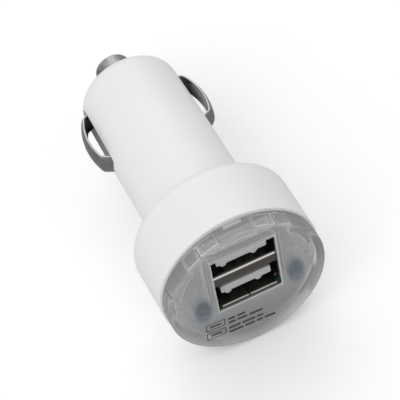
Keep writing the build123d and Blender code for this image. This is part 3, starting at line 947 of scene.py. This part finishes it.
def chip_body(name, dark, light, roughness, node, bare):
    """A small soldered part along Y: a grainy body, tinned at both ends beyond its bare share."""
    material, tree, place = new_material(name)
    # The filler grain is a few hundredths wide, drawn at 0.12 mm so that it shows
    grain_mm = 0.12
    tin_roughness = 0.35
    low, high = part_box(node)
    middle = (low + high) / 2
    grain = add(tree, "ShaderNodeTexNoise", {"Vector": place, "Scale": per_size(grain_mm), "Detail": 2.0})
    body = add(
        tree,
        "ShaderNodeMixRGB",
        {"Fac": grain.outputs["Fac"], "Color1": linear(dark), "Color2": linear(light)},
    )
    along = add(tree, "ShaderNodeSeparateXYZ", {"Vector": place}).outputs["Y"]
    from_middle = add(tree, "ShaderNodeMath", {0: along, 1: middle.y}, operation="SUBTRACT")
    reach = add(tree, "ShaderNodeMath", {0: from_middle.outputs["Value"]}, operation="ABSOLUTE")
    tinned = add(
        tree,
        "ShaderNodeMapRange",
        {
            "Value": reach.outputs["Value"],
            "From Min": (high.y - middle.y) * bare - tin_edge_mm * MM,
            "From Max": (high.y - middle.y) * bare + tin_edge_mm * MM,
        },
    )
    tone = add(
        tree,
        "ShaderNodeMixRGB",
        {"Fac": tinned.outputs["Result"], "Color1": body.outputs["Color"], "Color2": linear("#C8C8C4")},
    )
    sheen = add(
        tree,
        "ShaderNodeMapRange",
        {"Value": tinned.outputs["Result"], "To Min": roughness, "To Max": tin_roughness},
    )
    bump = add(
        tree,
        "ShaderNodeBump",
        {"Strength": 0.2, "Distance": fine_depth_mm * MM, "Height": grain.outputs["Fac"]},
    )
    shader = add(
        tree,
        "ShaderNodeBsdfPrincipled",
        {
            "Base Color": tone.outputs["Color"],
            "Metallic": tinned.outputs["Result"],
            "Roughness": sheen.outputs["Result"],
            "Normal": bump.outputs["Normal"],
        },
    )
    add(tree, "ShaderNodeOutputMaterial", {"Surface": shader.outputs["BSDF"]})
    return material


def pad_print_ink():
    """Two-part ink, pad printed: thin matt near-black, a little uneven where the pad lifted."""
    material, tree, place = new_material("pad_printed_ink")
    cover_mm = 0.3
    cover = add(tree, "ShaderNodeTexNoise", {"Vector": place, "Scale": per_size(cover_mm), "Detail": 2.0})
    tone = add(
        tree,
        "ShaderNodeMixRGB",
        {"Fac": cover.outputs["Fac"], "Color1": linear("#26272A"), "Color2": linear("#4A4B4E")},
    )
    sheen = add(
        tree,
        "ShaderNodeMapRange",
        {"Value": cover.outputs["Fac"], **noise_range, "To Min": 0.55, "To Max": 0.75},
    )
    shader = add(
        tree,
        "ShaderNodeBsdfPrincipled",
        {"Base Color": tone.outputs["Color"], "Roughness": sheen.outputs["Result"]},
    )
    add(tree, "ShaderNodeOutputMaterial", {"Surface": shader.outputs["BSDF"]})
    return material


def matt_paper():
    """Coated paper sweep: white, with a faint mottle."""
    material, tree, place = new_material("matt_coated_paper")
    mottle_mm = 30.0
    mottle = add(tree, "ShaderNodeTexNoise", {"Vector": place, "Scale": per_size(mottle_mm), "Detail": 3.0})
    tone = add(
        tree,
        "ShaderNodeMixRGB",
        {"Fac": mottle.outputs["Fac"], "Color1": linear("#FBFBFB"), "Color2": linear("#FFFFFF")},
    )
    shader = add(
        tree,
        "ShaderNodeBsdfPrincipled",
        {
            "Base Color": tone.outputs["Color"],
            "Roughness": 0.9,
            "Emission Color": linear("#FFFFFF"),
            "Emission Strength": floor_glow,
        },
    )
    add(tree, "ShaderNodeOutputMaterial", {"Surface": shader.outputs["BSDF"]})
    return material


def add_piece(name, points, faces, material):
    """A mesh piece of the plug in one material, which moves with the plug's body."""
    mesh = bpy.data.meshes.new(name)
    mesh.from_pydata(points, [], faces)
    mesh.materials.append(material)
    piece = bpy.data.objects.new(name, mesh)
    bpy.context.scene.collection.objects.link(piece)
    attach(piece, "plug")
    return piece


def coil_spring():
    """The tip spring as a coil of round wire, shown in place of the model's spring."""
    low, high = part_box("tip_spring")
    wire = spring_wire_mm * MM / 2
    radius = high.x - wire
    start_y = low.y + wire
    rest = high.y - low.y - 2 * wire
    lead = math.atan2(rest / spring_turns, math.tau * radius)
    sides = [math.tau * k / wire_sides for k in range(wire_sides)]
    rings = []
    for step in range(spring_turns * coil_steps + 1):
        share = step / (spring_turns * coil_steps)
        angle = math.tau * spring_turns * share
        out = Vector((math.sin(angle), 0, math.cos(angle)))
        turn = Vector((math.cos(angle), 0, -math.sin(angle)))
        up = Vector((0, math.cos(lead), 0)) - turn * math.sin(lead)
        middle = out * radius + Vector((0, start_y + rest * share, 0))
        rings.append([middle + wire * (math.cos(a) * out + math.sin(a) * up) for a in sides])
    points = [point for ring in rings for point in ring]
    first_end = list(range(wire_sides))[::-1]
    last_end = [len(points) - wire_sides + k for k in range(wire_sides)]
    faces = [first_end]
    for r in range(len(rings) - 1):
        for k in range(wire_sides):
            here = r * wire_sides + k
            beside = r * wire_sides + (k + 1) % wire_sides
            faces.append([here, beside, beside + wire_sides, here + wire_sides])
    faces.append(last_end)
    # Steel wire, drawn and left bare: mid grey with die lines along it
    steel = drawn_metal(
        "drawn_spring_steel",
        dark="#8D8C8A",
        bright="#B4B2AE",
        stain="#6E655B",
        polish=0.2,
        line_mm=0.1,
        stain_mm=2.0,
        stained=0.3,
    )
    spring = add_piece("coil_spring", points, faces, steel)
    for face in spring.data.polygons:
        face.use_smooth = len(face.vertices) < wire_sides
    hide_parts("tip_spring")
    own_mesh(spring)


def shell_lip(steel):
    """The shell's lower front edge, flared down over the board on each side of the seam."""
    low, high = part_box("usb_shell")
    divider_low, divider_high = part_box("usb_divider")
    sheet = (high.x - low.x - (divider_high.x - divider_low.x)) / 2
    floor_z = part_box("lower_insulator")[0].z
    section = []
    for step in range(lip_bend_steps + 1):
        turn = math.radians(90) * step / lip_bend_steps
        section.append((-lip_forward_mm * MM * math.sin(turn), -lip_drop_mm * MM * (1 - math.cos(turn))))
    behind = sheet * math.cos(math.radians(45))
    back = [(y + behind, z - behind) for y, z in section]
    loop = section + back[::-1]
    count = len(loop)
    points, faces = [], []
    for side in (-1, 1):
        first = len(points)
        for x in (lip_seam_half_mm * MM, lip_half_mm * MM):
            points += [Vector((side * x, low.y + y, floor_z + z)) for y, z in loop]
        for k in range(count):
            beside = (k + 1) % count
            faces.append([first + k, first + beside, first + count + beside, first + count + k])
        faces.append([first + k for k in range(count)][::-1])
        faces.append([first + count + k for k in range(count)])
    add_piece("shell_lip", points, faces, steel)


def printed_marks():
    """Ink on the front of the cap: two outlined boxes with a bar in each, beside rows of plain bars."""
    plates = []
    for k in range(box_count):
        top = k * box_drop_mm
        wide, high = box_size_mm
        plates += [
            (0, top, wide, box_line_mm),
            (0, top + high - box_line_mm, wide, box_line_mm),
            (0, top + box_line_mm, box_line_mm, high - 2 * box_line_mm),
            (wide - box_line_mm, top + box_line_mm, box_line_mm, high - 2 * box_line_mm),
            ((wide - box_bar_mm[0]) / 2, top + (high - box_bar_mm[1]) / 2, *box_bar_mm),
        ]
    for top, bars in zip(row_tops_mm, row_bars_mm):
        start = row_start_mm
        for length in bars:
            plates.append((start, top, length, bar_height_mm))
            start += length + bar_gap_mm
    front = cad_box[0].y
    turn = Matrix.Rotation(math.radians(-ink_tilt), 4, "Y")
    start_corner = Vector((ink_corner_mm[0] * MM, front, ink_corner_mm[1] * MM))
    points, faces = [], []
    for across, down, wide, high in plates:
        right, bottom = across + wide, down + high
        outline = ((across, down), (right, down), (right, bottom), (across, bottom))
        count = len(outline)
        near = range(len(points), len(points) + count)
        far = range(len(points) + count, len(points) + 2 * count)
        for depth in (-ink_depth_mm / 2, ink_depth_mm / 2):
            points += [start_corner + turn @ Vector((x, depth, -z)) * MM for x, z in outline]
        faces.append(list(near)[::-1])
        faces.append(list(far))
        for k in range(count):
            beside = (k + 1) % count
            faces.append([near[k], near[beside], far[beside], far[k]])
    add_piece("printed_marks", points, faces, pad_print_ink())


def place_camera():
    """A long lens that looks down on the plug from in front of the ports."""
    data = bpy.data.cameras.new("camera")
    data.sensor_width = sensor_width_mm
    data.lens = focal_length_px * sensor_width_mm / image_width_px
    data.clip_start, data.clip_end = clip_range
    camera = bpy.data.objects.new("camera", data)
    turn = Matrix.Rotation(math.radians(camera_azimuth), 4, "Z")
    turn = turn @ Matrix.Rotation(math.radians(camera_tilt), 4, "X")
    turn = turn @ Matrix.Rotation(math.radians(camera_roll), 4, "Z")
    camera.matrix_world = Matrix.Translation(Vector(camera_place_mm) * MM) @ turn
    bpy.context.scene.collection.objects.link(camera)
    bpy.context.scene.camera = camera


def lay_floor():
    """A pale sweep under the plug. Metal mirrors the dim room instead of it, as over a dark bench."""
    bpy.ops.mesh.primitive_plane_add(size=floor_size, location=(0, 0, cad_box[0].z))
    floor = bpy.context.object
    floor.name = "floor"
    floor.data.materials.append(matt_paper())
    floor.visible_glossy = False


def paint_room(world):
    """A soft bright ceiling over a dim room, and a white backdrop where the camera looks past the plug."""
    world.use_nodes = True
    tree = world.node_tree
    tree.nodes.clear()
    way = add(tree, "ShaderNodeTexCoord").outputs["Generated"]
    height = add(tree, "ShaderNodeSeparateXYZ", {"Vector": way}).outputs["Z"]
    ceiling = add(
        tree,
        "ShaderNodeMapRange",
        {
            "Value": height,
            "From Min": sky_heights[0],
            "From Max": sky_heights[1],
            "To Min": room_share,
            "To Max": 1.0,
        },
        interpolation_type="SMOOTHSTEP",
    )
    sky = add(
        tree,
        "ShaderNodeMixRGB",
        {"Fac": ceiling.outputs["Result"], "Color1": linear("#000000"), "Color2": linear("#FFFFFF")},
    )
    glow = add(tree, "ShaderNodeBackground", {"Color": sky.outputs["Color"], "Strength": sky_strength})
    backdrop = add(
        tree,
        "ShaderNodeBackground",
        {"Color": linear("#FFFFFF"), "Strength": backdrop_strength},
    )
    seen = add(tree, "ShaderNodeLightPath").outputs["Is Camera Ray"]
    room = add(
        tree,
        "ShaderNodeMixShader",
        {"Fac": seen, 1: glow.outputs["Background"], 2: backdrop.outputs["Background"]},
    )
    add(tree, "ShaderNodeOutputWorld", {"Surface": room.outputs["Shader"]})


def light_studio():
    """The painted room, one large soft lamp at the left and one behind."""
    scene = bpy.context.scene
    scene.view_settings.view_transform = "Standard"
    scene.world = bpy.data.worlds.new("studio")
    paint_room(scene.world)
    for name, place, size, power in (
        ("key_lamp", key_place, key_size, key_power),
        ("back_lamp", back_place, back_size, back_power),
    ):
        data = bpy.data.lights.new(name, "AREA")
        data.size = size
        data.energy = power
        lamp = bpy.data.objects.new(name, data)
        lamp.location = place
        lamp.rotation_euler = (-Vector(place)).to_track_quat("-Z", "Y").to_euler()
        scene.collection.objects.link(lamp)


give(moulded_white_abs(), "housing")
give(frosted_polycarbonate(), "front_cap")
folded_steel = plated_folded_steel()
give(folded_steel, "usb_shell", "usb_divider")
give(moulded_grey_nylon(), "upper_insulator", "lower_insulator")
# Bronze spring strips under a thin flash of gold: warm yellow, browner where the flash is thin
gold = drawn_metal(
    "gold_flashed_bronze",
    dark="#B98A43",
    bright="#DDB468",
    stain="#7E5C35",
    polish=0.2,
    line_mm=0.1,
    stain_mm=1.5,
    stained=0.4,
)
give(gold, "upper_contacts", "lower_contacts")
give(masked_circuit_board(), "circuit_board")
give(cast_blue_epoxy(), "left_lamp", "right_lamp")
# Copper wire dipped in tin: pale, soft in its gloss, dull grey in places
tinned_wire = drawn_metal(
    "tinned_copper",
    dark="#A9A9A6",
    bright="#D2D2CE",
    stain="#8F8B84",
    polish=0.3,
    line_mm=0.12,
    stain_mm=1.5,
    stained=0.3,
)
give(tinned_wire, "lamp_leads", "capacitor_leads", "chip_leads")
give(sleeved_capacitor_can(), "input_capacitor", "output_capacitor")
give(sintered_ferrite(), "choke_core")
give(enamelled_copper(), "choke_winding")
# Filled epoxy from a transfer mould: dull black, with the filler's fine grain
epoxy = chip_body(
    "moulded_black_epoxy",
    dark="#141416",
    light="#26262A",
    roughness=0.55,
    node="converter_chip",
    bare=all_bare,
)
give(epoxy, "converter_chip")
# The same epoxy with a tinned tab at each end
diode = chip_body(
    "moulded_epoxy_diode",
    dark="#151517",
    light="#2A2A2C",
    roughness=0.5,
    node="catch_diode",
    bare=0.82,
)
give(diode, "catch_diode")
# Alumina under dark glaze: smoother than epoxy, a broad tinned cap at each end
alumina = chip_body(
    "glazed_alumina_chip",
    dark="#1B1B1E",
    light="#303036",
    roughness=0.4,
    node="chip_resistors",
    bare=0.64,
)
give(alumina, "chip_resistors")
# Fired ceramic: dry tan between its two tinned caps
ceramic = chip_body(
    "fired_tan_ceramic",
    dark="#8A6B4A",
    light="#B08E66",
    roughness=0.6,
    node="ceramic_capacitors",
    bare=0.64,
)
give(ceramic, "ceramic_capacitors")
# Nickel-plated strip, rolled: long fine lines in a mid grey that mirrors the room softly
nickel = drawn_metal(
    "rolled_bright_nickel",
    dark="#92918F",
    bright="#B6B5B3",
    stain="#7C7773",
    polish=0.2,
    line_mm=0.15,
    stain_mm=3.0,
    stained=0.35,
)
give(nickel, "left_contact", "right_contact", "spring_seat")
# Nickel-plated brass, deep drawn into a cup: a duller grey, mottled by sparks and rubbing
nickel_cup = drawn_metal(
    "drawn_nickel_cup",
    dark="#989796",
    bright="#BEBDBC",
    stain="#666463",
    polish=0.36,
    line_mm=0.25,
    stain_mm=1.0,
    stained=0.6,
)
give(nickel_cup, "tip_contact")
coil_spring()
shell_lip(folded_steel)
printed_marks()
place_camera()
lay_floor()
light_studio()
